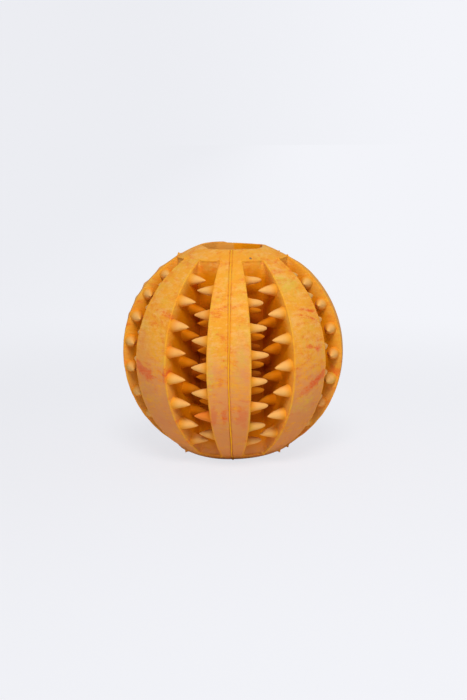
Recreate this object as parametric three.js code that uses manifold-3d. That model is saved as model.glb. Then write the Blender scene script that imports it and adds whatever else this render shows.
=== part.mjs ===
// Scented rubber dog ball: a hollow treat ball with eight ribs and toothed grooves between them.
// Millimetres, +Z up through the mouth, the origin at the ball's centre, the front rib at -Y.
// The mould parts on the plane X = 0, so everything that crosses it is made as a left and a right half.
import * as THREE from "three";
import { mergeVertices } from "three/addons/utils/BufferGeometryUtils.js";
import Module from "manifold-3d";

// The ball
const ballDiameter = 70;
const endRingDiameter = 22.16; // the flat ring round the mouth, and the one that the ball stands on
const rimDepth = 6.4; // from an end face to the plane where the ribs run into that end's rim

// The hollow
const coreDiameter = 35; // the floor of the grooves
const chamberDiameter = 25; // where the treat and the scent sit
const mouthWidth = 19.6; // between opposite flats of the eight-sided mouth
const mouthDepth = 3.2; // the straight part of the mouth, before it widens to the chamber
const mouthSides = 8;
const ventDiameter = 12; // the small hole in the base
const ventDepth = 3.2;

// The grooves
const grooveAngle = THREE.MathUtils.degToRad(22.6); // between the two walls of a groove
const toothStripThickness = 1.4; // the skin of a wall that carries its teeth

// The teeth: bullets that stand square to the wall
const toothDiameter = 3.8;
const toothLength = 5.5;
const toothTipDiameter = 1.3;
const toothSides = 6;
const toothProfile = [ // share of the length, share of the way from tip to base diameter
  [0, 1],
  [0.46, 0.72],
  [0.88, 0.08],
];

// Rows of teeth from the rim of a wall inwards: depth under the ball's surface, pitch along the row, and
// the number of teeth on the right and the left wall of a rib, seen from outside the ball. Across a groove
// a right wall faces a left wall, and their teeth are half a pitch apart.
const toothRows = [
  { depth: 2.6, pitch: 8.05, right: 8, left: 7 },
  { depth: 9, pitch: 8.35, right: 5, left: 4 },
  { depth: 15.2, pitch: 8.3, right: 2, left: 1 },
];

// Clearance and fineness
const clearance = 0.3; // between neighbouring pieces that don't meet on a flat end face
const turnSegments = 64; // facets once round the axis
const arcSteps = 14; // facets along a rib from end to end
const capSteps = 5; // facets along the cap of a rim
const overcut = 1; // how far a cutting tool reaches past the face that it cuts
const weldDistance = 1e-4; // vertices nearer than this are one

const ribSides = ["front", "front_right", "right", "back_right", "back", "back_left", "left", "front_left"];
const splitSides = ["front", "back"]; // the ribs that the parting plane runs through
const ribPitch = (2 * Math.PI) / ribSides.length;
const ribAngle = ribPitch - grooveAngle;

const ballRadius = ballDiameter / 2;
const endFlatHeight = Math.sqrt(ballRadius ** 2 - (endRingDiameter / 2) ** 2); // from the centre to an end face
const shoulderHeight = endFlatHeight - rimDepth; // from the centre to where the ribs run into a rim
const coreRadius = coreDiameter / 2;
const chamberRadius = chamberDiameter / 2;
const farOut = 2 * ballRadius; // past every surface

const wasm = await Module();
wasm.setup();

const rubber = (name, color) => new THREE.MeshStandardMaterial({ name, color, roughness: 0.62, metalness: 0 });
const ribRubber = rubber("rib_rubber", 0xe8a455);
const toothRubber = rubber("tooth_rubber", 0xec9a3c);
const coreRubber = rubber("core_rubber", 0xd67f1e);
const rimRubber = rubber("rim_rubber", 0xe59c48);

// Solids and meshes

function toSolid(geometry) {
  const bare = geometry.clone();
  bare.deleteAttribute("normal");
  bare.deleteAttribute("uv");
  const merged = mergeVertices(bare, weldDistance);
  return new wasm.Manifold(
    new wasm.Mesh({
      numProp: 3,
      vertProperties: new Float32Array(merged.attributes.position.array),
      triVerts: new Uint32Array(merged.index.array),
    }),
  );
}

function toGeometry(solid) {
  const { vertProperties, triVerts } = solid.getMesh();
  const geometry = new THREE.BufferGeometry();
  geometry.setAttribute("position", new THREE.BufferAttribute(vertProperties, 3));
  geometry.setIndex(new THREE.BufferAttribute(triVerts, 1));
  const faceted = geometry.toNonIndexed();
  faceted.computeVertexNormals();
  return faceted;
}

// A closed profile of [distance from the axis, height] turned about Z; its seam lies at the front.
function turned(profile, segments = turnSegments) {
  const points = [...profile, profile[0]].map(([radius, height]) => new THREE.Vector2(radius, height));
  return toSolid(new THREE.LatheGeometry(points, segments).rotateX(Math.PI / 2));
}

// A flat outline of [x, y] raised from height low to height high.
function raised(outline, low, high) {
  const shape = new THREE.Shape(outline.map(([x, y]) => new THREE.Vector2(x, y)));
  const geometry = new THREE.ExtrudeGeometry(shape, { depth: high - low, bevelEnabled: false });
  return toSolid(geometry.translate(0, 0, low));
}

// The box that keeps the left or the right of the parting plane.
function sideBlock(side) {
  const edge = side === "left" ? -farOut : farOut;
  return raised([[0, -farOut], [edge, -farOut], [edge, farOut], [0, farOut]], -farOut, farOut);
}

// Points of the ball's outline from height low to height high, as [distance from the axis, height].
function ballArc(low, high, steps) {
  const start = Math.asin(low / ballRadius);
  const end = Math.asin(high / ballRadius);
  return Array.from({ length: steps + 1 }, (_, i) => {
    const angle = start + ((end - start) * i) / steps;
    return [ballRadius * Math.cos(angle), ballRadius * Math.sin(angle)];
  });
}

// The wedge between two planes through the axis, both moved inwards by inset, with its middle at the front.
// It reaches from its own sharp edge outwards; side picks the whole of it or one half of it.
function wedge(angle, inset, low, high, side = "both") {
  const tip = inset / Math.sin(angle / 2);
  const spread = farOut * Math.tan(angle / 2);
  const left = side === "right" ? 0 : -spread;
  const right = side === "left" ? 0 : spread;
  return raised([[0, -tip], [left, -tip - farOut], [right, -tip - farOut]], low, high);
}

// Ribs: the ball's shell outside the core, between the skins of the two walls of a rib

function ribSolid(side) {
  const inner = coreRadius + clearance;
  const shell = turned([
    [inner, -shoulderHeight],
    ...ballArc(-shoulderHeight, shoulderHeight, arcSteps),
    [inner, shoulderHeight],
  ]);
  const inset = toothStripThickness + clearance;
  return shell.intersect(wedge(ribAngle, inset, -ballRadius, ballRadius, side));
}

// Tooth strips: the skin of one wall, made with the wall on the plane X = 0. A right wall's teeth point to +X.

function toothSolid() {
  const baseRadius = toothDiameter / 2;
  const tipRadius = toothTipDiameter / 2;
  const rings = toothProfile.map(([reach, width]) => [
    tipRadius + (baseRadius - tipRadius) * width,
    toothLength * reach,
  ]);
  const root = -toothStripThickness / 2;
  const profile = [[0, root], [baseRadius, root], ...rings, [0, toothLength]];
  const points = profile.map(([radius, height]) => new THREE.Vector2(radius, height));
  return toSolid(new THREE.LatheGeometry(points, toothSides).rotateZ(-Math.PI / 2));
}

function stripGeometry(wall) {
  const inner = coreRadius + clearance;
  const outline = [
    [inner, -shoulderHeight],
    ...ballArc(-shoulderHeight, shoulderHeight, arcSteps),
    [inner, shoulderHeight],
  ];
  const shape = new THREE.Shape(outline.map(([radius, height]) => new THREE.Vector2(radius, height)));
  const sheet = new THREE.ExtrudeGeometry(shape, { depth: toothStripThickness, bevelEnabled: false });
  // The outline's own axes go to -Y and +Z, and its thickness to -X.
  const skin = toSolid(sheet.rotateX(Math.PI / 2).rotateZ(-Math.PI / 2));
  const tooth = toothSolid();
  const teeth = toothRows.flatMap(({ depth, pitch, [wall]: count }) => {
    const rowRadius = ballRadius - depth;
    return Array.from({ length: count }, (_, i) => {
      const latitude = ((i - (count - 1) / 2) * pitch) / rowRadius;
      return tooth.translate([0, -rowRadius * Math.cos(latitude), rowRadius * Math.sin(latitude)]);
    });
  });
  const room = turned([
    [inner, -shoulderHeight],
    [farOut, -shoulderHeight],
    [farOut, shoulderHeight],
    [inner, shoulderHeight],
  ]);
  const strip = wasm.Manifold.union([skin, ...teeth]).intersect(room);
  return toGeometry(wall === "right" ? strip : strip.mirror([1, 0, 0]));
}

// Core: the straight tube between the rims

function chamberSolid(side) {
  const tube = turned([
    [chamberRadius, -shoulderHeight],
    [coreRadius, -shoulderHeight],
    [coreRadius, shoulderHeight],
    [chamberRadius, shoulderHeight],
  ]);
  return tube.intersect(sideBlock(side));
}

// Rims: the two ends of the ball, with the stubs of the ribs, the ends of the grooves and the way in

// A hole with so many sides and so wide between its flats, that runs through the end face.
function endHole(width, sides) {
  const corner = width / 2 / Math.cos(Math.PI / sides);
  const outline = Array.from({ length: sides }, (_, i) => {
    const angle = ((i + 0.5) * 2 * Math.PI) / sides;
    return [corner * Math.sin(angle), -corner * Math.cos(angle)];
  });
  return raised(outline, shoulderHeight - overcut, endFlatHeight + overcut);
}

function rimSolid(holeWidth, holeDepth, holeSides) {
  const cap = turned([
    [0, shoulderHeight],
    ...ballArc(shoulderHeight, endFlatHeight, capSteps),
    [0, endFlatHeight],
  ]);
  const funnel = turned([
    [0, shoulderHeight - overcut],
    [chamberRadius, shoulderHeight - overcut],
    [chamberRadius, shoulderHeight],
    [holeWidth / 2, endFlatHeight - holeDepth],
    [0, endFlatHeight - holeDepth],
  ]);
  const floor = turned([
    [coreRadius, shoulderHeight - overcut],
    [farOut, shoulderHeight - overcut],
    [farOut, farOut],
    [coreRadius, farOut],
  ]);
  const groove = floor.intersect(wedge(grooveAngle, 0, 0, farOut));
  const grooves = ribSides.map((_, i) =>
    groove.rotate([0, 0, THREE.MathUtils.radToDeg((i + 0.5) * ribPitch)]),
  );
  return cap.subtract(wasm.Manifold.union([funnel, endHole(holeWidth, holeSides), ...grooves]));
}

// The object

const ball = new THREE.Group();

function place(name, geometry, material, turn = 0) {
  const mesh = new THREE.Mesh(geometry, material);
  mesh.name = name;
  mesh.rotation.z = turn;
  ball.add(mesh);
}

const mouthRim = rimSolid(mouthWidth, mouthDepth, mouthSides);
const baseRim = rimSolid(ventDiameter, ventDepth, turnSegments).mirror([0, 0, 1]);
for (const side of ["left", "right"]) {
  const block = sideBlock(side);
  place(`mouth_rim_${side}`, toGeometry(mouthRim.intersect(block)), rimRubber);
  place(`base_rim_${side}`, toGeometry(baseRim.intersect(block)), rimRubber);
  place(`treat_chamber_${side}`, toGeometry(chamberSolid(side)), coreRubber);
}

const ribWhole = toGeometry(ribSolid("both"));
const halves = ["left", "right"].map((side) => ({ side, shape: toGeometry(ribSolid(side)) }));
const strips = [
  { wall: "left", shape: stripGeometry("left"), angle: -ribAngle / 2 },
  { wall: "right", shape: stripGeometry("right"), angle: ribAngle / 2 },
];
ribSides.forEach((ribSide, i) => {
  const turn = i * ribPitch;
  if (splitSides.includes(ribSide)) {
    halves.forEach(({ side, shape }) => place(`${ribSide}_rib_${side}_half`, shape, ribRubber, turn));
  } else {
    place(`${ribSide}_rib`, ribWhole, ribRubber, turn);
  }
  strips.forEach(({ wall, shape, angle }) => {
    place(`${ribSide}_rib_${wall}_teeth`, shape, toothRubber, turn + angle);
  });
});

export default ball;
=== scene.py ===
"""Scented rubber dog ball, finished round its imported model.

A hollow treat ball stands on its base: eight ribs run from pole to pole, and the grooves between them are
lined with rows of soft teeth. The rubber is orange, marbled with yellow and red, dusty where hands and floor
touch it and deep orange inside. The model's own frame is used: metres, +Z through the mouth, the front rib
at -Y, the mould's parting plane at X = 0.
"""

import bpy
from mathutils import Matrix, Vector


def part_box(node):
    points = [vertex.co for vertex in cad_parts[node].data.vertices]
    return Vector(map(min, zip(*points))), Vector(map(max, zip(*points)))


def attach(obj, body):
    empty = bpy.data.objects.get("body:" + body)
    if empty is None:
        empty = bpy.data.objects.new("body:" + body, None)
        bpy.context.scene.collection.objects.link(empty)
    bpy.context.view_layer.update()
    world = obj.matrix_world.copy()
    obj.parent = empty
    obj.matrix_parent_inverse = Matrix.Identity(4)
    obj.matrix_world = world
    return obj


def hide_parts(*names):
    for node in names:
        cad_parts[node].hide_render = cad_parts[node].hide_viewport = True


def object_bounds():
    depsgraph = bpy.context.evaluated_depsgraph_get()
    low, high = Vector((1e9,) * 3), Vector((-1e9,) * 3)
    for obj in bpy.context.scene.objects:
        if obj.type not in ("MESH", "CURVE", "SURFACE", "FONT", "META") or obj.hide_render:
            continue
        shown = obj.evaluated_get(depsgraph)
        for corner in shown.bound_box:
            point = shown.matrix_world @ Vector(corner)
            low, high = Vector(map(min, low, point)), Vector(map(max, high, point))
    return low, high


bl_info = {
    "name": "Scented Dog Ball",
    "version": (1, 0, 0),
    "blender": (4, 5, 0),
    "location": "3D View > Sidebar > Dog Ball",
    "description": "Moulded treat ball with toothed grooves, marbled rubber and a studio to show it in",
    "category": "Object",
}

import math

import bmesh
import bpy
import numpy as np
from bpy.props import FloatProperty, FloatVectorProperty, IntProperty, PointerProperty
from bpy.types import Operator, Panel, PropertyGroup
from mathutils import Quaternion, Vector

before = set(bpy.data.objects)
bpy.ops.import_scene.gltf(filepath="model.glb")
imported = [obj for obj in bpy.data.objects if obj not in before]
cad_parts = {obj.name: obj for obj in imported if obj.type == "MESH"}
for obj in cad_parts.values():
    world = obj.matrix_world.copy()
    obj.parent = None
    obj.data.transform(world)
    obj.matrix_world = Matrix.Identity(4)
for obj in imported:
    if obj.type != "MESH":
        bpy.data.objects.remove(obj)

MM = 0.001
CAD_LOW, CAD_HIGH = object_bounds()
BALL_RADIUS = CAD_HIGH.x
END_HEIGHT = CAD_HIGH.z
RING_RADIUS = math.sqrt(BALL_RADIUS**2 - END_HEIGHT**2)
CORE_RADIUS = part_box("treat_chamber_right")[1].x
SHOULDER_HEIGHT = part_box("treat_chamber_right")[1].z

RIB_SIDES = ("front", "front_right", "right", "back_right", "back", "back_left", "left", "front_left")
RIB_PITCH = math.tau / len(RIB_SIDES)

# Steps across a rib, its edge, a wall, its root and the groove's floor, from middle to middle. Then the rows
# of the parting bead, and the points round it and round a tooth.
FINENESS = (4, 3, 7, 7, 4)
BEAD_ROWS = 260
BEAD_SIDES = 10
TOOTH_SIDES = 10

# Rings of a tooth from its root inside the wall towards its tip, as shares of its length.
TOOTH_RINGS = (-0.07, 0.0, 0.09, 0.3, 0.55, 0.77, 0.92, 0.98)

# Columns of points beside the parting line, and the middle and half width of the channel that they carve.
SEAM_COLUMNS = np.array([0, 0.12, 0.2, 0.28, 0.36, 0.5, 0.95]) * MM
CHANNEL_MIDDLE = 0.28 * MM
CHANNEL_WIDTH = 0.09 * MM

# Lengths in mm of the waves that make the moulding uneven, and the starts of the fixed random draws.
STRAY_WAVES = (45, 38, 30, 24, 17, 12, 9)
STRAY_SEED = 3
NUB_SEEDS = {"left": 21, "right": 22}

# Points closer than this are merged, and edges that turn by more than this angle stay sharp.
MERGE_DISTANCE = 0.002 * MM
SHARP_ANGLE = math.radians(40)

# The stage: half the floor's width, its share of plain colour near the ball and where that rises to 1, the
# lamp, and the camera's shift and range.
FLOOR_REACH = 3.0
FLOOR_PLAIN = 0.81
FLOOR_FADE = (0.09, 0.3)
LAMP_WIDTH = 0.34
LAMP_PLACE = (0.03, -0.52, 0.6)
CAMERA_SHIFT = (0.0004, -0.0005)
CAMERA_RANGE = (0.01, 20)

# Rows of teeth from the rim of a wall inwards: depth under the ball's surface and pitch along the row in mm,
# then the number of teeth on the right and on the left wall of a rib, seen from outside the ball.
TOOTH_ROWS = ((2.6, 8.1, 8, 7), (9.0, 8.35, 5, 4), (15.2, 8.3, 2, 1))

# Teeth of an odd colour: rib, wall, number in the order of the rows, and tone from 0 for red to 1 for yellow.
ODD_TEETH = (("front", "left", 1, 0.0), ("front", "right", 1, 1.0), ("right", "left", 2, 0.97))

# Walls whose teeth left the mould with a blunt tip: rib and wall.
BLUNT_WALLS = (("front", "right"),)

# The mouth is cut by hand, so its corners are uneven: distance from the axis in mm and azimuth in degrees,
# counted from the front towards +X.
MOUTH_CORNERS = (
    (10.56, -3), (9.3, 16), (10.9, 43), (9.9, 68), (9.5, 98), (10.8, 127), (10.3, 166),
    (9.6, 193), (10.3, 211), (9.7, 232), (10.6, 256), (9.0, 279), (10.8, 320),
)

# The cut is wavy too: azimuth in degrees and height above the ring in mm.
MOUTH_WAVE = (
    (0, 0), (45, 0), (75, 0.1), (98, 0.2), (137, -0.05), (164, 0), (190, 0.15),
    (197, 0.5), (214, 0.55), (235, 0.45), (257, 0.25), (282, 0.2), (310, 0), (360, 0),
)

# Marks of the second and third colour in the marbling. Each is an oval on the ball's surface: azimuth in
# degrees, height, width and length in mm, and slant in degrees.
YELLOW_MARKS = (
    (-9, -2, 2.0, 15, 0), (43, 23.5, 9, 6, 20), (42, -12.5, 9, 7, -15), (-62, 23, 7, 9, 0),
    (6, 3, 4, 9, 0), (130, 6, 9, 16, 20), (176, 10, 7, 11, 0), (225, -8, 10, 9, 30), (268, 14, 6, 10, 0),
)
RED_MARKS = (
    (6.9, -15.5, 3.6, 7.5, 0), (-9.1, -15, 2.4, 8, 8), (-3, -14.5, 2.4, 6, 0), (47, -6.3, 12, 3.2, -28),
    (50, -5, 8, 2.4, -32), (44, 5.4, 3.6, 1.5, 10), (50, 4.5, 2.2, 2.4, 0), (-47, -3.2, 8, 4.2, 15),
    (-53, -1.3, 4, 3.5, 0), (-34.3, -3.3, 1.8, 5, 0), (64, -3.5, 4, 6, 0), (75, -1.6, 4, 4, 0),
    (-30.4, 12.6, 1.6, 3, 0), (77, -6, 4, 5, 0), (24, 9.5, 1.6, 2, 0), (98, 10, 6, 9, 30),
    (140, -12, 9, 4, -20), (183, -6, 4, 12, 10), (222, 12, 8, 5, 25), (262, -10, 6, 9, 0),
)

# In the same form: thicker dusty bloom, zones of fine level red streaks, and specks of dirt.
BLOOM_MARKS = (
    (6.5, 1, 5, 24, 0), (-9.5, -19, 5, 10, 0), (-50, 3, 8, 16, 0), (-47, -19, 9, 8, 0), (118, -4, 8, 14, 0),
)
STREAKED_MARKS = (
    (47, 14.6, 13, 7, -8), (-48, -1.5, 11, 5, 12), (41, 26.8, 7, 4, 0), (-40, 14, 7, 5, 0), (4, -11, 7, 8, 0),
    (-6, 17, 4, 5, 0), (33, -17, 7, 5, 0), (120, 15, 12, 6, 10), (200, 4, 10, 6, -8), (-110, -6, 10, 7, 5),
)
SPECKS = ((21.9, 31, 0.9, 0.6, 0), (-150, 24, 0.8, 0.5, 0), (104, -9, 0.7, 0.7, 0))

# Where the outside isn't round: azimuth in degrees, then height, rise and spread up and across in mm.
BUMPS = (
    (-90, 26.5, 0.35, 0.9, 3), (-89, 21.3, 0.45, 0.9, 3), (-90, 16.9, 0.3, 0.9, 3), (-91, 11.5, 0.3, 0.9, 3),
    (168, -14, 0.25, 0.9, 3), (101, 30.8, -0.55, 3, 9), (90, -31.5, 0.35, 2.2, 90),
    (-90, -31.5, 0.35, 2.2, 90),
)


def srgb(red, green, blue):
    """A colour given as it looks on screen, 0 to 255, as the linear colour that shaders use."""
    levels = np.array([red, green, blue]) / 255
    linear = np.where(levels <= 0.04045, levels / 12.92, ((levels + 0.055) / 1.055) ** 2.4)
    return tuple(float(v) for v in linear)


# Sizes and colours that a user would change


def number(name, description, default, **kind):
    return FloatProperty(name=name, description=description, default=default, **kind)


def length(name, description, default):
    return number(name, description, default, unit="LENGTH", precision=5)


def angle(name, description, degrees):
    return number(name, description, math.radians(degrees), subtype="ANGLE")


def colour(name, description, default):
    levels = {"subtype": "COLOR", "min": 0, "max": 1}
    return FloatVectorProperty(name=name, description=description, default=default, **levels)


class BallShape(PropertyGroup):
    groove_angle: angle("Groove Angle", "Angle between the two walls of a groove", 22.6)
    edge_radius: length("Edge Radius", "Rounding of the long edges of the ribs", 0.3 * MM)
    root_radius: length("Root Radius", "Hollow where a wall meets the groove's floor", 0.2 * MM)
    end_hollow: length("End Hollow", "Extra hollow of that corner at the grooves' shallow ends", 2.8 * MM)
    end_rounding: length("End Rounding", "Width of the rounding at the two ends of a groove", 0.22 * MM)
    flash: length("Flash", "Height of the thin flash left along the edges", 0.12 * MM)
    chamber_radius: length("Chamber Radius", "Half the bore of the treat chamber", 12.5 * MM)
    vent_radius: length("Vent Radius", "Half the hole in the base", 6.0 * MM)
    neck_depth: length("Neck Depth", "Straight part of the mouth and of the vent", 3.2 * MM)
    lip_radius: length("Lip Radius", "Rounding of the mouth's and the vent's edge", 0.15 * MM)
    wobble: length("Wobble", "How far the soft moulding strays from its true form", 0.1 * MM)


class BallTeeth(PropertyGroup):
    tooth_length: length("Tooth Length", "From the wall to the tip", 5.5 * MM)
    tooth_radius: length("Tooth Radius", "Half the width of a tooth at the wall", 1.68 * MM)
    left_taper: number("Left Taper", "Roundness of the left walls' teeth", 1.65)
    right_taper: number("Right Taper", "Roundness of the right walls' teeth", 1.45)
    blunt_girth: number("Blunt Girth", "Width of a blunt tooth, as a share of a sharp one", 0.86)
    lean: length("Lean", "How far inwards a right wall's teeth lean over their length", 0.5 * MM)
    skirt: length("Skirt", "How far a tooth flares into the wall", 0.6 * MM)
    unevenness: number("Unevenness", "How much the teeth differ", 0.035)
    seed: IntProperty(name="Seed", description="Start of the random draws for the teeth", default=11)


class BallSeam(PropertyGroup):
    bead_width: length("Bead Width", "Width of the raised parting line", 0.42 * MM)
    bead_height: length("Bead Height", "Greatest height of the raised parting line", 0.4 * MM)
    channel_depth: length("Channel Depth", "Depth of the channel on each side of the parting line", 0.16 * MM)
    seed: IntProperty(name="Seed", description="Start of the random draws for the flash", default=5)


class BallRubber(PropertyGroup):
    orange: colour("Orange", "Main colour of the rubber", srgb(244, 165, 49))
    # Amber is partly painted shade, darker and more saturated than the rubber outside.
    amber_and_shade: colour("Amber", "Clean rubber of the grooves' walls", srgb(226, 136, 0))
    # Deep is painted shade at the bottom of the grooves and on the inner rows of teeth.
    deep_shade: colour("Deep", "Clean rubber at the bottom of the grooves", srgb(180, 84, 0))
    yellow: colour("Yellow", "Yellow marbling", srgb(228, 184, 70))
    red: colour("Red", "Red marbling", srgb(232, 96, 38))
    gold: colour("Gold", "Veins in the grooves' clean rubber", srgb(228, 152, 22))
    mouth: colour("Mouth", "Cut wall of the mouth", srgb(255, 158, 14))
    bloom: colour("Bloom", "Dusty bloom low down on the outside", srgb(228, 150, 94))
    pale: colour("Pale", "Pale bloom high up on the outside", srgb(247, 188, 106))
    dirt: colour("Dirt", "A speck of dirt on the rim", srgb(120, 96, 84))
    # Flash also brightens the rubber's edges as a painted highlight.
    flash: colour("Flash", "Thin bright edges and flash", srgb(255, 190, 26))


class BallStudio(PropertyGroup):
    distance: length("Camera Distance", "From the ball's centre", 12.75 * BALL_RADIUS)
    elevation: angle("Camera Elevation", "Above the horizon", 10.2)
    turn: angle("Camera Turn", "To the right of the front rib", 2.1)
    roll: angle("Camera Roll", "Clockwise lean of the camera", 0.4)
    lens: number("Lens", "Focal length in mm on a 36 mm sensor", 71.75)
    background: colour("Background", "Plain paper at the ball's left", srgb(236, 237, 242))
    background_right: colour("Background Right", "Plain paper at the ball's right", srgb(243, 244, 249))
    floor: colour("Floor", "Paper under the ball", srgb(240, 240, 245))
    bounce: colour("Bounce", "The floor as it lights the ball from below", (0.86, 0.84, 0.84))
    sky: number("Sky", "Strength of the light from the front", 0.32)
    backdrop: number("Backdrop", "Strength of the light from behind", 0.5)
    key: number("Key Light", "Power of the large light in front", 4.3, unit="POWER")


# Shader maths: a socket that takes Python's operators, and a tree that makes the nodes


class Signal:
    """An output socket. Operators on numbers and other signals add Math nodes."""

    def __init__(self, tree, socket):
        self.tree = tree
        self.socket = socket

    def math(self, operation, first, second):
        return self.tree.node("ShaderNodeMath", {"operation": operation}, {0: first, 1: second})

    def __add__(self, other):
        return self.math("ADD", self, other)

    def __sub__(self, other):
        return self.math("SUBTRACT", self, other)

    def __rsub__(self, other):
        return self.math("SUBTRACT", other, self)

    def __mul__(self, other):
        return self.math("MULTIPLY", self, other)

    __radd__ = __add__
    __rmul__ = __mul__


class Tree:
    """The node tree of a new material or of the world."""

    def __init__(self, owner):
        owner.use_nodes = True
        self.nodes = owner.node_tree.nodes
        self.links = owner.node_tree.links
        self.nodes.clear()

    def node(self, kind, settings=None, inputs=None, output=0):
        """One output of a new node of that kind, which gets its settings, then its input values or links."""
        made = self.nodes.new(kind)
        for name, value in (settings or {}).items():
            setattr(made, name, value)
        for name, value in (inputs or {}).items():
            if isinstance(value, Signal):
                self.links.new(value.socket, made.inputs[name])
            else:
                made.inputs[name].default_value = value
        return Signal(self, made.outputs[output]) if made.outputs else None

    def vector_math(self, operation, inputs, output=0):
        return self.node("ShaderNodeVectorMath", {"operation": operation}, inputs, output)

    def place(self):
        """The point on the piece, in metres from the ball's centre."""
        return self.node("ShaderNodeTexCoord", output="Object")

    def stretched(self, vector, scale, shift=(0, 0, 0)):
        """The vector scaled and shifted, so that a noise read there is narrower or another one."""
        moved = {"Vector": vector, "Location": shift, "Scale": scale}
        return self.node("ShaderNodeMapping", inputs=moved)

    def pushed(self, vector, noise, amount):
        """A vector moved by a colour noise, up to amount in metres each way."""
        centred = self.vector_math("SUBTRACT", {0: noise, 1: (0.5, 0.5, 0.5)})
        step = self.vector_math("SCALE", {0: centred, "Scale": 2 * amount})
        return self.vector_math("ADD", {0: vector, 1: step})

    def noise(self, vector, size, detail=2.0, roughness=0.5, output="Fac"):
        """Noise whose lumps are about as wide as size, in metres."""
        inputs = {"Vector": vector, "Scale": 1 / size, "Detail": detail, "Roughness": roughness}
        return self.node("ShaderNodeTexNoise", inputs=inputs, output=output)

    def ramp(self, value, low, high):
        """0 below low, 1 above high and smooth between them. low above high turns it round."""
        limits = {"Value": value, "From Min": low, "From Max": high}
        return self.node("ShaderNodeMapRange", {"interpolation_type": "SMOOTHSTEP"}, limits)

    def capped(self, value):
        return value.math("MINIMUM", value, 1.0)

    def part(self, vector, axis):
        return self.node("ShaderNodeSeparateXYZ", inputs={0: vector}, output=axis)

    def blend(self, share, first, second):
        """The first colour, and the second where share is 1."""
        first, second = (c if isinstance(c, Signal) else (*c, 1) for c in (first, second))
        return self.node("ShaderNodeMix", {"data_type": "RGBA"}, {0: share, 6: first, 7: second}, output=2)

    def attribute(self, name):
        return self.node("ShaderNodeAttribute", {"attribute_name": name}, output="Fac")


# Finishes


def new_finish(name):
    """A new material, its tree and the point on the piece."""
    material = bpy.data.materials.new(name)
    tree = Tree(material)
    return material, tree, tree.place()


def marked(tree, place, ragged, marks):
    """1 inside the given marks and 0 outside, with ragged edges."""
    total = 0
    for azimuth, height, width, tall, slant in marks:
        turn = math.radians(azimuth)
        reach = math.sqrt(BALL_RADIUS**2 - (height * MM) ** 2)
        oval = {
            "Vector": place,
            "Location": (reach * math.sin(turn), -reach * math.cos(turn), height * MM),
            "Rotation": (0, math.radians(slant), turn),
            "Scale": (width * MM / 2, 5 * MM, tall * MM / 2),
        }
        local = tree.node("ShaderNodeMapping", {"vector_type": "TEXTURE"}, oval)
        away = tree.vector_math("LENGTH", {0: local}, "Value")
        total = total + tree.ramp(away + ragged, 1.25, 0.35)
    return total


def marbled(tree, place, rubber):
    """Colour of the rubber in the mass, orange with clouds of yellow and streaks of red, and the red marks.

    The point is pushed about by a wide noise before the finer noises are read, so that the clouds are drawn
    out into the folds of two rubbers milled together. Fine grain breaks up every edge between the colours.
    """
    folds = tree.noise(place, 24 * MM, detail=1, output="Color")
    flow = tree.pushed(place, folds, 12 * MM)
    grain = tree.noise(tree.stretched(place, (1, 1, 1.4)), 1.6 * MM, detail=4, roughness=0.75)
    flecks = tree.noise(tree.stretched(place, (1, 1, 1), (0.1, 0.2, 0.3)), 0.9 * MM, roughness=0.6)
    ragged = (tree.noise(flow, 2.2 * MM, detail=5, roughness=0.75) - 0.5) * 3.0
    broken = (grain - 0.5) * 0.5
    yellow = tree.ramp(tree.noise(flow, 6 * MM, detail=4, roughness=0.6) + broken * 0.7, 0.44, 0.72) * 0.6
    yellow = yellow + marked(tree, place, ragged, YELLOW_MARKS) * 0.7 + tree.ramp(flecks, 0.62, 0.75) * 0.35
    level = tree.stretched(flow, (1, 1, 2.6), (0.31, 0.17, 0.05))
    warm = tree.noise(level, 6.5 * MM, detail=5, roughness=0.7)
    level = tree.stretched(flow, (1, 1, 4.5), (0.7, 0.1, 0.4))
    wipes = tree.noise(level, 6 * MM, detail=4, roughness=0.7)
    stain = marked(tree, place, ragged, RED_MARKS)
    streaks = marked(tree, place, ragged, STREAKED_MARKS) * tree.ramp(wipes, 0.46, 0.62)
    red = tree.ramp(warm + broken * 1.1, 0.46, 0.76) * 0.65 + tree.ramp(grain, 0.54, 0.78) * 0.28
    red = red + tree.ramp(wipes, 0.52, 0.75) * 0.3 + streaks * 0.6
    red = red + stain * 0.75 + tree.ramp(flecks, 0.36, 0.26) * 0.3
    colour = tree.blend(tree.capped(yellow), rubber.orange, rubber.yellow)
    return tree.blend(tree.capped(red), colour, rubber.red), stain


def skin_relief(tree, place):
    """Height of the rubber's skin, 0 to 1: the mould's tooling lines, fine orange peel and wider lumps."""
    lines = tree.noise(tree.stretched(place, (1, 1, 9)), 3.2 * MM, detail=3, roughness=0.65)
    peel = tree.noise(place, 0.7 * MM)
    lumps = tree.noise(place, 4.5 * MM)
    return lines * 0.45 + peel * 0.2 + lumps * 0.35


def finish_shader(tree, colour, roughness, height, strength):
    bump = {"Strength": strength, "Distance": 0.25 * MM, "Height": height}
    normal = tree.node("ShaderNodeBump", inputs=bump)
    shader = {
        "Base Color": colour,
        "Roughness": roughness,
        "Normal": normal,
        "IOR": 1.5,
        "Specular IOR Level": 0.05,
        "Sheen Weight": 0.05,
        "Sheen Roughness": 0.3,
        "Sheen Tint": (1.0, 0.86, 0.92, 1),
    }
    surface = tree.node("ShaderNodeBsdfPrincipled", inputs=shader)
    tree.node("ShaderNodeOutputMaterial", inputs={"Surface": surface})


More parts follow.
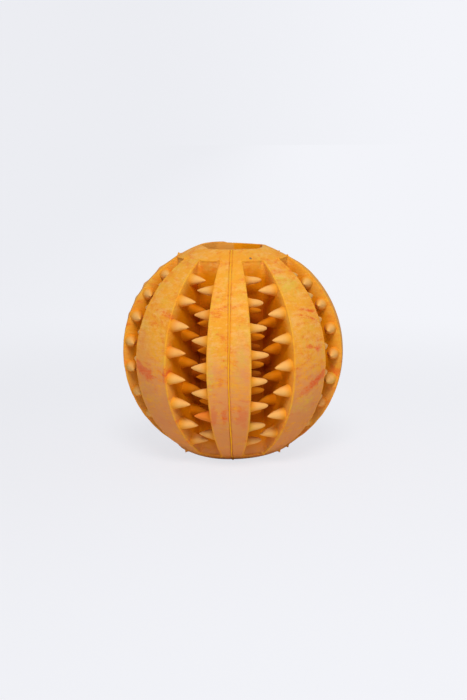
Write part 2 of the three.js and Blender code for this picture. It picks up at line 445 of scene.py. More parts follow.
def body_rubber(rubber):
    """The moulding's finish: dusty outside, clean in the grooves with painted shade deepening towards their
    bottoms, painted shade in the creases, and worn edges that are brightened as a painted highlight.
    """
    material, tree, place = new_finish("Marbled Rubber")
    depth = tree.attribute("depth")
    edge = tree.attribute("edge")
    crease_shade = tree.attribute("crease_shade")
    inside = tree.ramp(depth, 0.0, 0.25)
    mass, stain = marbled(tree, place, rubber)
    swirl = tree.pushed(place, tree.noise(place, 9 * MM, output="Color"), 8 * MM)
    veins = tree.noise(swirl, 3 * MM, detail=4)
    # The grooves' undusted rubber, in an amber that is partly painted shade.
    clean_and_shaded = tree.blend(tree.ramp(veins, 0.5, 0.7) * 0.3, rubber.amber_and_shade, rubber.gold)
    # Painted shade: darker towards the bottom of the grooves.
    clean_and_shaded = tree.blend(tree.ramp(depth, 0.25, 0.9), clean_and_shaded, rubber.deep_shade)
    clean_and_shaded = tree.blend(tree.capped(stain) * 0.6 + tree.ramp(veins, 0.45, 0.3) * 0.2, clean_and_shaded, rubber.red)
    height = tree.part(place, "Z")
    near_mouth = tree.ramp(height, 28.2 * MM, 29.6 * MM)
    # Painted highlight: the left half of the mouth's cut wall is paler.
    lit_half = tree.ramp(tree.part(place, "X"), 0.4 * MM, -0.2 * MM)
    rim_wall = tree.blend(lit_half * 0.45, rubber.mouth, rubber.pale)
    clean_and_shaded = tree.blend(near_mouth, clean_and_shaded, rim_wall)
    colour = tree.blend(inside * 0.985, mass, clean_and_shaded)
    wiped = tree.noise(tree.stretched(place, (1, 1, 4)), 4 * MM, detail=6, roughness=0.8)
    cloud = tree.noise(place, 6 * MM, detail=7, roughness=0.78)
    low = tree.ramp(height, 14 * MM, -22 * MM)
    outside = (1 - inside) * (1 - edge) * tree.ramp(height, -32.5 * MM, -29.5 * MM)
    speck = tree.noise(place, 1.2 * MM, detail=4, roughness=0.8)
    dust = tree.ramp(wiped * 0.4 + cloud * 0.35 + speck * 0.25 + low * 0.08, 0.47, 0.6) * outside
    bloom = tree.blend(tree.ramp(cloud * 0.6 + low * 0.7, 0.3, 0.65), rubber.pale, rubber.bloom)
    colour = tree.blend(dust * 0.8, colour, bloom)
    thick = marked(tree, place, (speck - 0.5) * 3.0, BLOOM_MARKS) * outside
    colour = tree.blend(thick * 0.36, colour, rubber.bloom)
    colour = tree.blend(tree.capped(stain) * outside * 0.22, colour, rubber.red)
    # Painted highlight: the worn edges brightened with the flash colour.
    colour = tree.blend(edge * tree.ramp(wiped, 0.4, 0.6) * 0.3, colour, rubber.flash)
    # Painted shade: darker just below the grooves' ends and in the channels beside the parting line.
    colour = tree.blend(crease_shade * (0.25 + tree.ramp(cloud, 0.4, 0.6) * 0.45), colour, rubber.deep_shade)
    colour = tree.blend(marked(tree, place, 0.0, SPECKS), colour, rubber.dirt)
    roughness = 0.58 + dust * 0.16
    finish_shader(tree, colour, roughness, skin_relief(tree, place), 1.0)
    return material


def tooth_rubber(rubber):
    """The teeth's finish: each tooth has its own tone, and the dusty tips are a little paler. The inner rows
    and the roots take the groove's colour with its painted shade, and the tops are paler than the undersides
    as painted light and shade.
    """
    material, tree, place = new_finish("Tooth Rubber")
    tone = tree.attribute("tone")
    reach = tree.attribute("reach")
    sunk = tree.attribute("depth")
    mass, _ = marbled(tree, place, rubber)
    colour = tree.blend(0.6, mass, rubber.orange)
    colour = tree.blend(tree.ramp(tone, 0.8, 1.0) * 0.8, colour, rubber.yellow)
    reddish = tree.blend(0.3, rubber.red, rubber.mouth)
    colour = tree.blend(tree.ramp(tone, 0.06, 0.0) * 0.85, colour, reddish)
    # Painted shade: the inner rows of teeth darker, as the groove's walls are.
    clean_and_shaded = tree.blend(tree.ramp(sunk, 0.2, 0.9), rubber.amber_and_shade, rubber.deep_shade)
    # The roots and the inner rows take that colour, partly undusted rubber and partly painted shade.
    bare_and_shaded = tree.capped(tree.ramp(reach, 0.6, 0.0) * 0.32 + tree.ramp(sunk, 0.2, 0.5) * 0.85)
    colour = tree.blend(bare_and_shaded, colour, clean_and_shaded)
    speckle = tree.noise(place, 1.4 * MM, detail=4, roughness=0.7)
    # Pale dust on the outward sides, and more on the tops than the undersides, as painted light and shade.
    dust = tree.ramp(tree.attribute("rubbed_and_lit") + (speckle - 0.5) * 0.5, 0.3, 0.95) * tree.ramp(reach, 0.0, 0.5)
    bloom = tree.blend(tree.ramp(speckle, 0.3, 0.7) * 0.25, rubber.pale, rubber.bloom)
    dust = dust * tree.ramp(tone, -0.02, 0.06)
    colour = tree.blend(dust * tree.ramp(sunk, 0.4, 0.1) * 0.95, colour, bloom)
    roughness = 0.54 + tree.noise(place, 2 * MM) * 0.12
    finish_shader(tree, colour, roughness, skin_relief(tree, place), 0.3)
    return material


def flash_rubber(rubber):
    """The finish of the parting bead and the flash nubs: thin rubber that glows brighter than the mass."""
    material, tree, place = new_finish("Flash Rubber")
    patches = tree.ramp(tree.noise(place, 6 * MM), 0.4, 0.6)
    colour = tree.blend(patches * 0.4 + 0.6, rubber.orange, rubber.flash)
    finish_shader(tree, colour, 0.5 + patches * 0.1, tree.noise(place, 0.8 * MM), 0.3)
    return material


# Surfaces


def smooth_min(first, second, width):
    """The lower of two heights, rounded where they cross: min - (width - |difference|)^2 / (4 width)."""
    near = np.clip(width - np.abs(first - second), 0, None)
    return np.minimum(first, second) - near**2 / (4 * width)


def eased(share):
    """A share from 0 to 1 that starts and stops smoothly: 3 s^2 - 2 s^3."""
    return share**2 * (3 - 2 * share)


def bell(away, width):
    """1 where away is 0, less on either side: exp(-(away / width)^2)."""
    return np.exp(-((away / width) ** 2))


def strayed(points, amount):
    """Points moved by a few long sine waves, so that the moulding is as uneven as soft rubber is.

    Each wave moves all points along one direction by sin(k . p + phase), longer waves the most.
    """
    draw = np.random.default_rng(STRAY_SEED)
    moved = points.copy()
    for wavelength in STRAY_WAVES:
        direction = draw.normal(size=3)
        direction /= np.linalg.norm(direction)
        push = draw.normal(size=3)
        push /= np.linalg.norm(push)
        phase = points @ direction * math.tau / (wavelength * MM) + draw.uniform(0, math.tau)
        moved += np.sin(phase)[..., None] * push * amount * wavelength / STRAY_WAVES[0]
    return moved


def in_scene(name, data):
    """A new object in the scene, with that mesh, lamp or camera."""
    made = bpy.data.objects.new(name, data)
    bpy.context.scene.collection.objects.link(made)
    return made


def mesh_piece(name, points, faces, material, attributes=None):
    """A piece from arrays of points and faces, none of it lower than the floor that the ball stands on.

    Doubles are merged, and faces made to point outwards.
    """
    points = np.array(points, float)
    points[..., 2] = np.maximum(points[..., 2], CAD_LOW.z)
    mesh = bpy.data.meshes.new(name)
    mesh.from_pydata(points.reshape(-1, 3), [], faces)
    for key, values in (attributes or {}).items():
        layer = mesh.attributes.new(key, "FLOAT", "POINT")
        layer.data.foreach_set("value", np.ascontiguousarray(values, np.float32).ravel())
    build = bmesh.new()
    build.from_mesh(mesh)
    bmesh.ops.remove_doubles(build, verts=build.verts, dist=MERGE_DISTANCE)
    bmesh.ops.recalc_face_normals(build, faces=build.faces)
    for edge in build.edges:
        edge.smooth = edge.calc_face_angle(0.0) < SHARP_ANGLE
    for face in build.faces:
        face.smooth = True
    build.to_mesh(mesh)
    build.free()
    mesh.materials.append(material)
    piece = in_scene(name, mesh)
    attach(piece, "root")
    return piece


def grid_faces(rows, columns, wrap_rows=False, wrap_columns=False):
    """The four-sided faces of a grid of points that are numbered row by row, as an array of corners."""
    row = np.arange(rows if wrap_rows else rows - 1)
    column = np.arange(columns if wrap_columns else columns - 1)
    low, left = np.meshgrid(row, column, indexing="ij")
    high = (low + 1) % rows
    right = (left + 1) % columns
    corners = [low * columns + left, low * columns + right, high * columns + right, high * columns + left]
    return np.stack(corners, axis=-1).reshape(-1, 4)


def spread(start, end, count):
    """count even values from start up to but not including end."""
    return start + (end - start) * (np.arange(count) / count)


def groove_floor(polar, shape):
    """Distance of a groove's floor from the ball's centre: the core tube's, rounded into the ball's."""
    return smooth_min(BALL_RADIUS, CORE_RADIUS / np.sin(polar), shape.end_rounding)


def end_angle(shape):
    """Polar angle at which the groove's floor begins to leave the ball's surface."""
    sharp = math.asin(CORE_RADIUS / BALL_RADIUS)
    slope = BALL_RADIUS / math.tan(sharp)
    return sharp - shape.end_rounding / slope


def seam_spacing(polar):
    """Spread of the columns beside the parting line: 1.5 times their own at the top, easing to 0.85 below."""
    return 1.5 - 0.65 * eased(np.clip((polar - 0.8) / 0.9, 0, 1))


def section(polar, shape):
    """The surface from the middle of a rib to the middle of a groove, on cones of constant polar angle.

    Along the way, in order: the ball's surface, a low ridge of flash, a quarter circle over the edge, the
    straight wall, a quarter circle into the corner, and the floor. Returns rows of polar angles by columns
    along the way: distance from the centre, angle from the rib's middle, how much of the point is worn edge
    that also gets a painted highlight, how much gets the painted shade of a dark line just below the groove's
    end, and the share of the nub of flash that stands on the groove's corner.
    """
    polar = polar[:, None]
    around = BALL_RADIUS * np.sin(polar)
    floor = groove_floor(polar, shape)
    depth = BALL_RADIUS - floor
    open_share = np.clip(depth / (0.4 * MM), 0, 1)
    edge = np.minimum(shape.edge_radius, 0.4 * depth)
    shallow = np.clip(2 - depth / (5 * MM), 0, 1)
    root = np.minimum(shape.root_radius + shape.end_hollow * shallow, 0.6 * depth)
    edge_angle = edge / around
    root_angle = root / (floor * np.sin(polar))
    wall = (RIB_PITCH - shape.groove_angle) / 2
    land_n, edge_n, wall_n, root_n, floor_n = FINENESS
    seam = SEAM_COLUMNS[:-1]
    land_end = 0.75 * MM
    beside = np.array([0.5, 0.28, 0.12]) * MM
    swell = np.array([0, 0.55, 1.0])
    ridge = shape.flash * open_share * (0.55 + 0.45 * np.sin(37 * polar) * np.sin(13 * polar + 1))
    along = spread(0, 1, land_n)
    turn = spread(0, math.pi / 2, edge_n)
    down = spread(0, 1, wall_n)
    bend = spread(0, math.pi / 2, root_n)
    across = np.linspace(0, 1, floor_n + 1)
    zero = np.zeros_like(polar)
    top = BALL_RADIUS + ridge
    spacing = seam_spacing(polar)
    last_seam = SEAM_COLUMNS[-1] * spacing / around
    distance = np.hstack([
        BALL_RADIUS + zero * seam,
        BALL_RADIUS + zero * along,
        BALL_RADIUS + ridge * swell,
        top - edge * (1 - np.cos(turn)),
        top - edge - (top - edge - floor - root) * down,
        floor + root * (1 - np.sin(bend)),
        floor + zero * across,
    ])
    swing = np.hstack([
        seam * spacing / around,
        last_seam + (wall - edge_angle - land_end / around - last_seam) * along,
        wall - edge_angle - beside / around,
        wall - edge_angle * (1 - np.sin(turn)),
        wall + zero * down,
        wall + root_angle * (1 - np.cos(bend)),
        wall + root_angle + (RIB_PITCH / 2 - wall - root_angle) * across,
    ])
    # How worn each point of the edge is; the colour also brightens these edges as a painted highlight.
    worn_and_lit = np.hstack([
        0 * seam,
        0 * along,
        0.6 * swell,
        0.6 + 0.4 * np.sin(2 * turn),
        0.6 * (1 - down) ** 6,
        0 * bend,
        0 * across,
    ])
    tip = end_angle(shape)
    past = np.minimum(np.abs(polar - tip), np.abs(math.pi - polar - tip)) * BALL_RADIUS
    end_ridge = bell(past, 0.25 * MM) * np.clip((swing - wall) / edge_angle.max() + 1, 0, 1)
    distance = distance + shape.flash * end_ridge * 0.8
    # A thin band just below each groove's end, used only to darken the colour: painted shade under the end's
    # lip.
    below = np.minimum(polar - tip, math.pi - tip - polar) * BALL_RADIUS
    shade_line = bell(below - 0.24 * MM, 0.14 * MM) * np.clip((swing - wall - 0.01) * 40, 0, 1)
    nub = bell(past, 0.5 * MM) * bell((swing - wall) * around, 0.45 * MM)
    return distance, swing, np.clip(worn_and_lit * open_share + end_ridge + nub, 0, 1), shade_line, nub


def polar_rows(shape):
    """Polar angles of the rows of the outer surface, crowded where the grooves run out."""
    start = math.asin(RING_RADIUS / BALL_RADIUS)
    tip = end_angle(shape)
    near = tip + np.radians([-0.9, -0.55, -0.3, -0.12, 0, 0.12, 0.28, 0.5, 0.8, 1.2, 1.7])
    upper = np.concatenate([
        spread(start, near[0], 8),
        near,
        spread(near[-1], math.pi / 2, 66)[1:],
    ])
    return np.concatenate([upper, [math.pi / 2], math.pi - upper[::-1]])


def mouth_radius(azimuth):
    """Distance of the mouth's edge from the axis: where the ray at an azimuth meets a side of the cut."""
    radius, degrees = np.array(MOUTH_CORNERS, float).T
    corner_angle = np.radians(degrees)
    x = radius * np.sin(corner_angle) * MM
    y = -radius * np.cos(corner_angle) * MM
    dx, dy = np.sin(azimuth)[..., None], -np.cos(azimuth)[..., None]
    x1, y1, x2, y2 = x, y, np.roll(x, -1), np.roll(y, -1)
    turned = dx * (y2 - y1) - dy * (x2 - x1)
    reach = (x1 * (y2 - y1) - y1 * (x2 - x1)) / turned
    share = (x1 * dy - y1 * dx) / turned
    hit = (reach > 0) & (share >= -1e-9) & (share <= 1 + 1e-9)
    return np.where(hit, reach, 0).max(axis=-1)


def bore_rows(azimuth, side, shape):
    """Distance from the axis and height of the inner surface, from the base ring up to the mouth's ring.

    It goes over the flat ring, round the vent's lip, up the neck, out to the chamber, up the chamber's wall
    and out again through the mouth's neck and lip to the other flat ring.
    """
    lip = shape.lip_radius
    neck = END_HEIGHT - shape.neck_depth
    chamber = shape.chamber_radius
    ring = spread(0, 1, 3)[1:]
    turn = np.linspace(0, math.pi / 2, 5)
    rise = np.linspace(0, 1, 8)
    half = []
    true_azimuth = azimuth if side == "right" else -azimuth
    for edge in (np.full_like(azimuth, shape.vent_radius), mouth_radius(true_azimuth)):
        flat = RING_RADIUS + (edge + lip - RING_RADIUS) * ring[:, None]
        rounded = edge + lip * (1 - np.sin(turn))[:, None]
        funnel = edge + (chamber - edge) * eased(rise)[:, None]
        distance = np.vstack([flat, rounded, funnel])
        height = np.concatenate([
            np.full(len(ring), END_HEIGHT),
            END_HEIGHT - lip * (1 - np.cos(turn)),
            neck + (SHOULDER_HEIGHT - neck) * rise,
        ])
        half.append((distance, height))
    (low, low_height), (high, high_height) = half
    middle_height = np.linspace(-SHOULDER_HEIGHT, SHOULDER_HEIGHT, 12)[1:-1]
    middle = np.full((len(middle_height), len(azimuth)), chamber)
    distance = np.vstack([low, middle, high[::-1]])
    height = np.concatenate([-low_height, middle_height, high_height[::-1]])
    return distance, np.repeat(height[:, None], len(azimuth), axis=1)


def mouth_wave(points):
    """Points near the mouth raised by the wave of the cut: full at the ring and nothing 3 mm below it."""
    azimuth, rise = np.array(MOUTH_WAVE, float).T
    here = np.degrees(np.arctan2(points[..., 0], -points[..., 1])) % 360
    radius = np.hypot(points[..., 0], points[..., 1])
    share = np.clip((points[..., 2] - END_HEIGHT) / (3 * MM) + 1, 0, 1)
    share = eased(share) * np.clip(radius / (8 * MM), 0, 1)
    raised = points.copy()
    raised[..., 2] += np.interp(here, azimuth, rise) * MM * share
    return raised


def nub_heights(polar, draw):
    """Heights drawn for the nubs of flash at the upper and the lower end of a groove's corner."""
    return np.where(polar < math.pi / 2, *draw.uniform(0.1, 0.7, size=2))[:, None] * MM


def half_ball(shape, seam, side):
    """Points of one half of the moulding, as rows round the ball's outline by columns from front to back.

    The outer rows follow the ribs and grooves, and the inner ones the vent, chamber and mouth. Both ends of
    every row lie on the parting plane. Also returns the depth under the ball's surface, the edge wear with
    its painted highlight, and the painted shade of the creases: the dark line below each groove's end and the
    channels beside the parting line.
    """
    polar = polar_rows(shape)
    distance, swing, worn_and_lit, shade_line, nub = section(polar, shape)
    draw = np.random.default_rng(NUB_SEEDS[side])
    grooves = len(RIB_SIDES) // 2
    azimuths, outers = [], []
    for rib in range(grooves):
        first, second = (distance + nub * nub_heights(polar, draw) for _ in range(2))
        azimuths += [rib * RIB_PITCH + swing[:, :-1], (rib + 1) * RIB_PITCH - swing[:, :0:-1]]
        outers += [first[:, :-1], second[:, :0:-1]]
    azimuth = np.hstack([*azimuths, np.full((len(polar), 1), math.pi)])
    outer = np.hstack([*outers, distance[:, :1]])
    wear_and_highlight, crease_shade = (
        np.hstack([marks[:, :-1], marks[:, :0:-1]] * grooves + [marks[:, :1]]) for marks in (worn_and_lit, shade_line)
    )
    beside = np.abs(outer * np.sin(polar)[:, None] * np.sin(azimuth)) / seam_spacing(polar)[:, None]
    channel = bell(beside - CHANNEL_MIDDLE, CHANNEL_WIDTH)
    outer = outer - seam.channel_depth * channel
    for bump_azimuth, bump_height, rise, tall, wide in BUMPS:
        if (bump_azimuth < 0) == (side == "left"):
            up = outer * np.cos(polar)[:, None] - bump_height * MM
            off = (azimuth - abs(math.radians(bump_azimuth))) * BALL_RADIUS
            outer = outer + rise * MM * bell(up, tall * MM) * bell(off, wide * MM)
    # The channels beside the parting line are also darkened in the colour, as painted shade.
    crease_shade = np.clip(crease_shade + channel, 0, 1)
    axial = outer * np.sin(polar)[:, None]
    height = outer * np.cos(polar)[:, None]
    inner_axial, inner_height = bore_rows(azimuth[-1], side, shape)
    bored = np.abs(inner_height) < END_HEIGHT - shape.lip_radius / 2
    axial = np.vstack([axial, inner_axial])
    height = np.vstack([height, inner_height])
    azimuth = np.vstack([azimuth, np.repeat(azimuth[-1:], len(inner_axial), axis=0)])
    wear_and_highlight, crease_shade = (np.vstack([marks, np.zeros_like(inner_axial)]) for marks in (wear_and_highlight, crease_shade))
    points = np.stack([axial * np.sin(azimuth), -axial * np.cos(azimuth), height], axis=-1)
    depth = (BALL_RADIUS - np.linalg.norm(points, axis=-1)) / (BALL_RADIUS - CORE_RADIUS)
    depth[len(polar):] = np.maximum(depth[len(polar):], 0.25 * bored)
    if side == "left":
        points[..., 0] *= -1
    points = strayed(mouth_wave(points), shape.wobble)
    points[:, [0, -1], 0] = 0
    return points, depth, wear_and_highlight, crease_shade


def wall_frames(shape, wall):
    """For each rib, its side, its wall's azimuth, and +1 if the teeth point to greater azimuths, else -1."""
    half_rib = (RIB_PITCH - shape.groove_angle) / 2
    sense = 1 if wall == "right" else -1
    return [(side, i * RIB_PITCH + sense * half_rib, sense) for i, side in enumerate(RIB_SIDES)]


def tooth_profile(teeth, taper, blunt):
    """Each ring's place along a tooth, as a share of its length, and its radius, from the root outwards.

    The radius is the bullet (1 - s^taper)^0.78 of the radius at the wall, with a flare there. A blunt tooth
    is the slimmer cone 1 - 0.35 s, rounded off at its end by the square root of 1 - s^4.5.
    """
    share = np.array(TOOTH_RINGS)
    along = np.clip(share, 0, 1)
    if blunt:
        radius = teeth.tooth_radius * teeth.blunt_girth * (1 - 0.35 * along) * np.sqrt(1 - along**4.5)
    else:
        radius = teeth.tooth_radius * (1 - along**taper) ** 0.78
    flare = teeth.skirt * np.exp(-8 * (share - share[0]))
    return share, radius + flare


def tooth_row_places(wall):
    """Distance from the ball's centre and latitude of every tooth on that kind of wall."""
    places = []
    for depth, pitch, right, left in TOOTH_ROWS:
        count = right if wall == "right" else left
        radius = BALL_RADIUS - depth * MM
        latitude = (np.arange(count) - (count - 1) / 2) * pitch * MM / radius
        places += [(radius, angle) for angle in latitude]
    return np.array(places)


def turns_round(sides):
    """The angles of points spread evenly round a circle."""
    return np.arange(sides) * math.tau / sides


def wall_of_teeth(teeth, wall, azimuth, sense, draw, blunt):
    """Points of a wall's teeth, as teeth by rings by points round each, and each tooth's tone and depth.

    A tooth's axis stands square to the wall. Its length, width, lean and tone are drawn for each tooth. The
    rings' shares of the length come last.
    """
    places = tooth_row_places(wall)
    count = len(places)
    radial = np.array([math.sin(azimuth), -math.cos(azimuth), 0])
    outward = np.array([math.cos(azimuth), math.sin(azimuth), 0]) * sense
    up = np.array([0, 0, 1.0])
    along = places[:, :1] * np.cos(places[:, 1:])
    base = along * radial + places[:, :1] * np.sin(places[:, 1:]) * up
    share, radius = tooth_profile(teeth, teeth.right_taper if wall == "right" else teeth.left_taper, blunt)
    stretch = 1 + teeth.unevenness * draw.normal(size=(count, 1, 1, 1))
    girth = 1 + 0.5 * teeth.unevenness * draw.normal(size=(count, 1, 1, 1))
    lean = 0.6 * teeth.unevenness * draw.normal(size=(count, 2))
    tone = draw.uniform(size=count)
    axis = outward + lean[:, :1] * radial + lean[:, 1:] * up
    turn = turns_round(TOOTH_SIDES)[:, None]
    ring = np.cos(turn) * radial + np.sin(turn) * up
    reach = (share * teeth.tooth_length)[None, :, None, None] * stretch
    points = base[:, None, None] + reach * axis[:, None, None] + radius[None, :, None, None] * girth * ring
    if wall == "right":
        points += (teeth.lean * (1 - share))[None, :, None, None] * radial
    sunk = (BALL_RADIUS - places[:, 0]) / (BALL_RADIUS - CORE_RADIUS)
    return points, tone, sunk, share


# Making the pieces


class MakeMoulding(Operator):
    """Make the two halves of the ball's body, which meet on the mould's parting plane"""

    bl_idname = "dog_ball.make_moulding"
    bl_label = "Make Moulding"

    def execute(self, context):
        shape = context.scene.ball_shape
        seam = context.scene.ball_seam
        material = body_rubber(context.scene.ball_rubber)
        for side in ("left", "right"):
            points, depth, wear_and_highlight, crease_shade = half_ball(shape, seam, side)
            rows, columns = points.shape[:2]
            faces = grid_faces(rows, columns, wrap_rows=True).tolist()
            first = np.arange(rows) * columns
            faces += [first.tolist(), (first + columns - 1)[::-1].tolist()]
            attributes = {"depth": depth, "edge": wear_and_highlight, "crease_shade": crease_shade}
            piece = mesh_piece(f"moulding_{side}", points, faces, material, attributes)
            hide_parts(*self.nodes(side))
        return {"FINISHED"}

    @staticmethod
    def nodes(side):
        """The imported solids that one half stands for. A back rib's own left lies on the ball's right."""
        other = "left" if side == "right" else "right"
        names = [f"mouth_rim_{side}", f"base_rim_{side}", f"treat_chamber_{side}"]
        names += [f"front_rib_{side}_half", f"back_rib_{other}_half"]
        return names + [f"{rib}_rib" for rib in RIB_SIDES if side in rib.split("_")]


class MakeTeeth(Operator):
    """Make the teeth, one piece for each wall of each groove"""

    bl_idname = "dog_ball.make_teeth"
    bl_label = "Make Teeth"

    def execute(self, context):
        teeth = context.scene.ball_teeth
        shape = context.scene.ball_shape
        material = tooth_rubber(context.scene.ball_rubber)
        draw = np.random.default_rng(teeth.seed)
        for wall in ("left", "right"):
            for side, azimuth, sense in wall_frames(shape, wall):
                blunt = (side, wall) in BLUNT_WALLS
                rings, tone, sunk, share = wall_of_teeth(teeth, wall, azimuth, sense, draw, blunt)
                for rib, odd_wall, place, odd_tone in ODD_TEETH:
                    if (rib, odd_wall) == (side, wall):
                        tone[place] = odd_tone
                name = f"{side}_rib_{wall}_teeth"
                points, faces, reach = self.closed(strayed(rings, shape.wobble), share)
                attributes = {
                    "reach": reach,
                    "tone": np.repeat(tone, points.shape[1]),
                    "depth": np.repeat(sunk, points.shape[1]),
                    "rubbed_and_lit": np.tile(self.rubbed_and_lit(len(share)), len(points)),
                }
                piece = mesh_piece(name + "_skin", points, faces, material, attributes)
                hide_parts(name)
        return {"FINISHED"}

    @staticmethod
    def rubbed_and_lit(levels):
        """How far each point of a tooth faces outwards, where hands and dust reach it, and upwards, so that
        the tops get more pale dust than the undersides as painted light and shade.
        """
        turn = turns_round(TOOTH_SIDES)
        facing = np.clip(0.52 + 0.48 * np.cos(turn) + 0.22 * np.sin(turn), 0, 1)
        return np.append(np.tile(facing, levels), 1.0)

    @staticmethod
    def closed(rings, share):
        """Each tooth's rings with a point at its tip, the faces that close it, and each point's reach."""
        count, levels, sides = rings.shape[:3]
        far = rings.mean(axis=2)
        tip = far[:, -1:] + (far[:, -1:] - far[:, :1]) * (1 - share[-1]) / (share[-1] - share[0])
        points = np.concatenate([rings.reshape(count, -1, 3), tip], axis=1)
        tube = grid_faces(levels, sides, wrap_columns=True)
        step = np.arange(sides)
        last = levels * sides
        ring = last - sides
        top = np.stack([np.full_like(step, last), step + ring, (step + 1) % sides + ring], axis=1)
        root = step[None, ::-1]
        first = np.arange(count)[:, None, None] * (last + 1)
        faces = []
        for part in (tube, top, root):
            faces += (part[None] + first).reshape(-1, part.shape[1]).tolist()
        reach = np.concatenate([np.repeat(np.clip(share, 0, 1), sides), [1]])
        return points, faces, np.tile(reach, count)


class MakeSeam(Operator):
    """Make the raised parting line down the front and the back rib"""

    bl_idname = "dog_ball.make_seam"
    bl_label = "Make Parting Line"

    def execute(self, context):
        seam = context.scene.ball_seam
        material = flash_rubber(context.scene.ball_rubber)
        draw = np.random.default_rng(seam.seed)
        for name, sense in (("front", -1), ("back", 1)):
            points = self.bead(seam, sense, draw)
            faces = grid_faces(*points.shape[:2], wrap_columns=True).tolist()
            columns = points.shape[1]
            last = points.shape[0] * columns
            faces += [list(range(columns))[::-1], list(range(last - columns, last))]
            points = strayed(points, context.scene.ball_shape.wobble)
            piece = mesh_piece(f"{name}_parting_bead", points, faces, material)
        return {"FINISHED"}

    @staticmethod
    def bead(seam, sense, draw):
        """A low ridge over the ball's outline from ring to ring, in section an ellipse half sunk in the rib.

        The ridge wanders sideways by slow sines and its height varies by faster ones, as trimmed flash does.
        It is low down to the ball's middle, taller below, and ends in a nub where the mould was filled.
        """
        start = math.asin(RING_RADIUS / BALL_RADIUS) + 0.01
        polar = np.linspace(start, math.pi - start, BEAD_ROWS)[:, None]
        waves = draw.uniform(0, math.tau, size=6)
        wander = sum(np.sin(polar * k + w) for k, w in zip((3, 7, 13), waves)) * 0.06 * MM
        swell = sum(np.sin(polar * k + w) for k, w in zip((17, 41, 73), waves[3:])) / 3
        lower = np.clip((polar - 1.75) / 0.25, 0, 1)
        nub = bell(math.pi - start - polar, 0.02)
        height = seam.bead_height * (0.6 + 0.4 * lower + (0.2 + 0.35 * lower) * swell + 0.8 * nub)
        width = seam.bead_width * (0.75 + 0.25 * lower + 0.25 * swell + 0.8 * nub)
        sunk = 0.08 * MM
        turn = turns_round(BEAD_SIDES)[None]
        across = wander + width / 2 * np.cos(turn)
        rise = np.sin(turn) * np.where(np.sin(turn) > 0, 1, 0.8)
        out = BALL_RADIUS - sunk + height * rise
        y = sense * out * np.sin(polar)
        z = out * np.cos(polar)
        return np.stack([across + 0 * y, y, z], axis=-1)


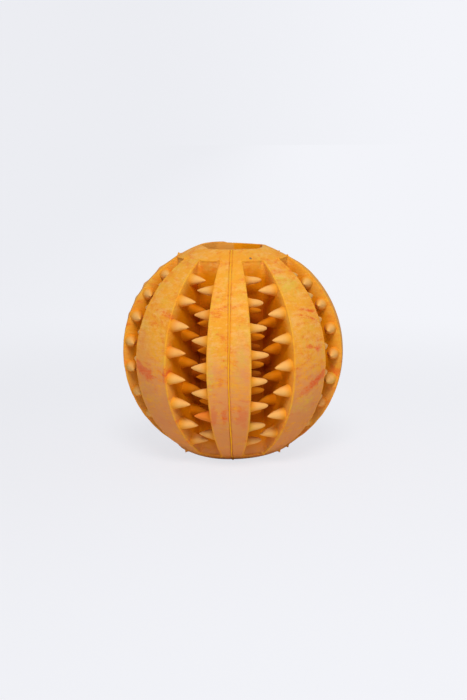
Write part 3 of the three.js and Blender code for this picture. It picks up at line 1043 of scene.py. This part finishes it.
class MakeStudio(Operator):
    """Make the floor, the light and the camera"""

    bl_idname = "dog_ball.make_studio"
    bl_label = "Make Studio"

    def execute(self, context):
        studio = context.scene.ball_studio
        self.make_floor(studio)
        self.make_world(context.scene, studio)
        self.make_key(studio)
        self.make_camera(context.scene, studio)
        context.scene.view_settings.view_transform = "Standard"
        return {"FINISHED"}

    @staticmethod
    def make_floor(studio):
        """A flat sheet whose shading gives way to plain background colour away from the ball."""
        corners = np.array([[-1, -1], [1, -1], [1, 1], [-1, 1]]) * FLOOR_REACH
        points = np.column_stack([corners, np.full(4, CAD_LOW.z)])
        mesh = bpy.data.meshes.new("floor")
        mesh.from_pydata(points, [], [[0, 1, 2, 3]])
        in_scene("floor", mesh)
        material, tree, place = new_finish("Paper")
        mesh.materials.append(material)
        away = tree.vector_math("LENGTH", {0: place}, "Value")
        seen = tree.node("ShaderNodeLightPath", output="Is Camera Ray")
        plain = (tree.ramp(away, *FLOOR_FADE) * (1 - FLOOR_PLAIN) + FLOOR_PLAIN) * seen
        side = tree.ramp(tree.part(place, "X"), -0.2, 0.09)
        plain_colour = tree.blend(side, studio.background, studio.background_right)
        paper = {"Base Color": tree.blend(seen, studio.bounce, studio.floor), "Roughness": 0.9}
        near_shader = tree.node("ShaderNodeBsdfPrincipled", inputs=paper)
        far_shader = tree.node("ShaderNodeEmission", inputs={"Color": plain_colour})
        surface = tree.node("ShaderNodeMixShader", inputs={0: plain, 1: near_shader, 2: far_shader})
        tree.node("ShaderNodeOutputMaterial", inputs={"Surface": surface})

    @staticmethod
    def make_world(scene, studio):
        world = bpy.data.worlds.new("Studio")
        scene.world = world
        tree = Tree(world)
        seen = tree.node("ShaderNodeLightPath", output="Is Camera Ray")
        toward = tree.node("ShaderNodeTexCoord", output="Generated")
        behind = tree.part(toward, "Y")
        side = tree.part(toward, "X")
        strength = tree.ramp(behind, -0.25, 0.8) * (studio.backdrop - studio.sky) + studio.sky
        strength = strength * (1 - tree.ramp(side, -0.1, -0.95) * 0.35)
        light = {"Color": (0.97, 0.98, 1.0, 1), "Strength": strength}
        light_shader = tree.node("ShaderNodeBackground", inputs=light)
        plain = tree.blend(tree.ramp(side, -0.12, 0.12), studio.background, studio.background_right)
        paper_shader = tree.node("ShaderNodeBackground", inputs={"Color": plain})
        surface = tree.node("ShaderNodeMixShader", inputs={0: seen, 1: light_shader, 2: paper_shader})
        tree.node("ShaderNodeOutputWorld", inputs={"Surface": surface})

    @staticmethod
    def make_key(studio):
        light = bpy.data.lights.new("overhead", "AREA")
        light.shape = "DISK"
        light.size = LAMP_WIDTH
        light.energy = studio.key
        light.color = (1.0, 0.985, 0.96)
        lamp = in_scene("overhead", light)
        lamp.location = LAMP_PLACE
        lamp.rotation_mode = "QUATERNION"
        lamp.rotation_quaternion = lamp.location.to_track_quat("Z", "Y")

    @staticmethod
    def make_camera(scene, studio):
        """The camera looks at the ball's centre, a hair left of the picture's middle and above it."""
        camera = bpy.data.cameras.new("camera")
        camera.lens = studio.lens
        camera.shift_x, camera.shift_y = CAMERA_SHIFT
        camera.clip_start, camera.clip_end = CAMERA_RANGE
        viewer = in_scene("camera", camera)
        turn, rise = studio.turn, studio.elevation
        level = math.cos(rise)
        back = Vector((math.sin(turn) * level, -math.cos(turn) * level, math.sin(rise)))
        viewer.location = back * studio.distance
        viewer.rotation_mode = "QUATERNION"
        viewer.rotation_quaternion = back.to_track_quat("Z", "Y") @ Quaternion((0, 0, 1), -studio.roll)
        scene.camera = viewer


class BallPanel(Panel):
    """The makers of the ball's pieces, in the order in which they are run"""

    bl_idname = "VIEW3D_PT_dog_ball"
    bl_label = "Dog Ball"
    bl_space_type = "VIEW_3D"
    bl_region_type = "UI"
    bl_category = "Dog Ball"

    def draw(self, context):
        for maker in MAKERS:
            self.layout.operator(maker.bl_idname)
        for name in GROUPS:
            box = self.layout.box()
            group = getattr(context.scene, name)
            for key in group.bl_rna.properties.keys():
                if key not in ("rna_type", "name"):
                    box.prop(group, key)


MAKERS = (MakeMoulding, MakeTeeth, MakeSeam, MakeStudio)
GROUPS = {
    "ball_shape": BallShape,
    "ball_teeth": BallTeeth,
    "ball_seam": BallSeam,
    "ball_rubber": BallRubber,
    "ball_studio": BallStudio,
}


def register():
    for entry in (*GROUPS.values(), *MAKERS, BallPanel):
        bpy.utils.register_class(entry)
    for name, group in GROUPS.items():
        setattr(bpy.types.Scene, name, PointerProperty(type=group))


def unregister():
    for name in GROUPS:
        delattr(bpy.types.Scene, name)
    for entry in (BallPanel, *reversed(MAKERS), *reversed(GROUPS.values())):
        bpy.utils.unregister_class(entry)


def main():
    register()
    bpy.ops.dog_ball.make_moulding()
    bpy.ops.dog_ball.make_teeth()
    bpy.ops.dog_ball.make_seam()
    bpy.ops.dog_ball.make_studio()


if __name__ == "__main__":
    main()
